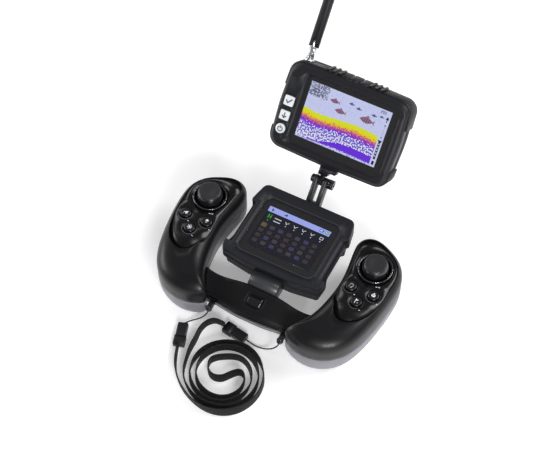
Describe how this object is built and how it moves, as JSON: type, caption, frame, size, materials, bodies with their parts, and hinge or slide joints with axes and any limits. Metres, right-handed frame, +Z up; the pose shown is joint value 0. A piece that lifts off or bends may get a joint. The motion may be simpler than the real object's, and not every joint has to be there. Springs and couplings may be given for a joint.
{
  "type": "fish finder remote",
  "caption": "Hand-held bait-boat remote: grips with thumb sticks, colour display, tilting fish-finder screen on a fork arm, folding whip antenna and neck lanyard.",
  "frame": {"origin": "on the surface it lies on, under the middle of the box round the remote, the finder and the antenna, lanyard left out", "axes": "+X to the user's right, +Y away from the user, +Z up from the surface; the grips lie level and the finder leans back 50 degrees from level"},
  "size_m": [0.2002, 0.3562, 0.2122],
  "materials": {
    "shell_black": "satin",
    "shell_grey": "satin",
    "plate_black": "gloss",
    "ring_silver": "polished",
    "rubber_black": "matte",
    "button_black": "satin",
    "case_black": "fine texture",
    "neck_grey": "satin",
    "clear_window": "clear",
    "picture_panel": "gloss",
    "circuit_green": "coated",
    "cell_metal": "sleeved",
    "pack_soft": "foil",
    "steel_screw": "zinc plated",
    "black_metal": "black oxide",
    "key_white": "satin",
    "antenna_chrome": "polished",
    "cord_black": "braided",
    "webbing_black": "woven",
    "buckle_black": "satin"
  },
  "bodies": {
    "remote": {"bridge_top": "shell_black", "bridge_bottom": "shell_grey", "neck": "neck_grey", "lanyard_eyelets": "steel_screw", "display_bezel": "case_black", "display_housing": "case_black", "display_lens": "clear_window", "display_lcd": "picture_panel", "display_board": "circuit_green", "fork_arm": "black_metal", "pivot_screw": "black_metal", "pivot_washers": "rubber_black", "switch_boards": "circuit_green", "grip_batteries": "cell_metal", "battery_doors": "shell_grey", "grip_screws": "steel_screw", "left_grip_upper": "shell_black", "left_grip_lower": "shell_grey", "left_faceplate": "plate_black", "left_stick_ring": "ring_silver", "left_gimbal_base": "case_black", "right_grip_upper": "shell_black", "right_grip_lower": "shell_grey", "right_faceplate": "plate_black", "right_stick_ring": "ring_silver", "right_gimbal_base": "case_black", "left_cord": "cord_black", "right_cord": "cord_black", "strap_lead": "webbing_black", "strap_tail": "webbing_black", "strap_coil": "webbing_black", "lanyard_buckles": "buckle_black"},
    "finder": {"finder_front": "case_black", "finder_back": "case_black", "finder_bumpers": "rubber_black", "finder_glass": "clear_window", "finder_lcd": "picture_panel", "finder_board": "circuit_green", "finder_battery": "pack_soft", "finder_foot": "case_black", "antenna_socket": "antenna_chrome"},
    "tilt_knob": {"pivot_knob": "button_black"},
    "antenna_swivel": {"antenna_base": "antenna_chrome"},
    "antenna_whip": {"antenna_whip": "rubber_black"},
    "left_gimbal": {"left_gimbal_yoke": "case_black"},
    "left_thumb_stick": {"left_stick": "button_black", "left_stick_pad": "rubber_black"},
    "left_outer_button_cap": {"left_outer_button": "button_black"},
    "left_inner_button_cap": {"left_inner_button": "button_black"},
    "left_lower_button_cap": {"left_lower_button": "button_black"},
    "right_gimbal": {"right_gimbal_yoke": "case_black"},
    "right_thumb_stick": {"right_stick": "button_black", "right_stick_pad": "rubber_black"},
    "right_outer_button_cap": {"right_outer_button": "button_black"},
    "right_inner_button_cap": {"right_inner_button": "button_black"},
    "right_lower_button_cap": {"right_lower_button": "button_black"},
    "power_button_cap": {"power_button": "button_black"},
    "check_key_cap": {"check_key": "key_white"},
    "arrow_key_cap": {"arrow_key": "key_white"},
    "finder_power_key_cap": {"finder_power_key": "key_white"}
  },
  "joints": [
    {"name": "finder_tilt", "type": "hinge", "parent": "remote", "child": "finder", "pos_m": [0, 0.00037, 0.0481], "axis": [1, 0, 0], "range_deg": [-45, 100]},
    {"name": "knob_turn", "type": "hinge", "parent": "remote", "child": "tilt_knob", "pos_m": [0, 0.00037, 0.0481], "axis": [1, 0, 0], "continuous": true},
    {"name": "antenna_turn", "type": "hinge", "parent": "finder", "child": "antenna_swivel", "pos_m": [-0.044, 0.06114, 0.11524], "axis": [0, 0.6428, 0.766], "range_deg": [-180, 180]},
    {"name": "antenna_fold", "type": "hinge", "parent": "antenna_swivel", "child": "antenna_whip", "pos_m": [-0.044, 0.07188, 0.12803], "axis": [1, 0, 0], "range_deg": [0, 90]},
    {"name": "left_stick_push", "type": "hinge", "parent": "remote", "child": "left_gimbal", "pos_m": [-0.0765, -0.05443, 0.0452], "axis": [1, 0, 0], "range_deg": [-20, 20], "stiffness_Nm_per_rad": 0.03},
    {"name": "left_stick_lean", "type": "hinge", "parent": "left_gimbal", "child": "left_thumb_stick", "pos_m": [-0.0765, -0.05443, 0.0452], "axis": [0, 1, 0], "range_deg": [-20, 20], "stiffness_Nm_per_rad": 0.03},
    {"name": "left_outer_button_press", "type": "slide", "parent": "remote", "child": "left_outer_button_cap", "axis": [0, 0, -1], "range_m": [0, 0.0008], "stiffness_N_per_m": 500},
    {"name": "left_inner_button_press", "type": "slide", "parent": "remote", "child": "left_inner_button_cap", "axis": [0, 0, -1], "range_m": [0, 0.0008], "stiffness_N_per_m": 500},
    {"name": "left_lower_button_press", "type": "slide", "parent": "remote", "child": "left_lower_button_cap", "axis": [0, 0, -1], "range_m": [0, 0.0008], "stiffness_N_per_m": 500},
    {"name": "right_stick_push", "type": "hinge", "parent": "remote", "child": "right_gimbal", "pos_m": [0.0765, -0.05443, 0.0452], "axis": [1, 0, 0], "range_deg": [-20, 20], "stiffness_Nm_per_rad": 0.03},
    {"name": "right_stick_lean", "type": "hinge", "parent": "right_gimbal", "child": "right_thumb_stick", "pos_m": [0.0765, -0.05443, 0.0452], "axis": [0, 1, 0], "range_deg": [-20, 20], "stiffness_Nm_per_rad": 0.03},
    {"name": "right_outer_button_press", "type": "slide", "parent": "remote", "child": "right_outer_button_cap", "axis": [0, 0, -1], "range_m": [0, 0.0008], "stiffness_N_per_m": 500},
    {"name": "right_inner_button_press", "type": "slide", "parent": "remote", "child": "right_inner_button_cap", "axis": [0, 0, -1], "range_m": [0, 0.0008], "stiffness_N_per_m": 500},
    {"name": "right_lower_button_press", "type": "slide", "parent": "remote", "child": "right_lower_button_cap", "axis": [0, 0, -1], "range_m": [0, 0.0008], "stiffness_N_per_m": 500},
    {"name": "power_button_press", "type": "slide", "parent": "remote", "child": "power_button_cap", "axis": [0, 0, -1], "range_m": [0, 0.0008], "stiffness_N_per_m": 500},
    {"name": "check_key_press", "type": "slide", "parent": "finder", "child": "check_key_cap", "axis": [0, 0.766, -0.6428], "range_m": [0, 0.0008], "stiffness_N_per_m": 500},
    {"name": "arrow_key_press", "type": "slide", "parent": "finder", "child": "arrow_key_cap", "axis": [0, 0.766, -0.6428], "range_m": [0, 0.0008], "stiffness_N_per_m": 500},
    {"name": "finder_power_key_press", "type": "slide", "parent": "finder", "child": "finder_power_key_cap", "axis": [0, 0.766, -0.6428], "range_m": [0, 0.0008], "stiffness_N_per_m": 500}
  ]
}
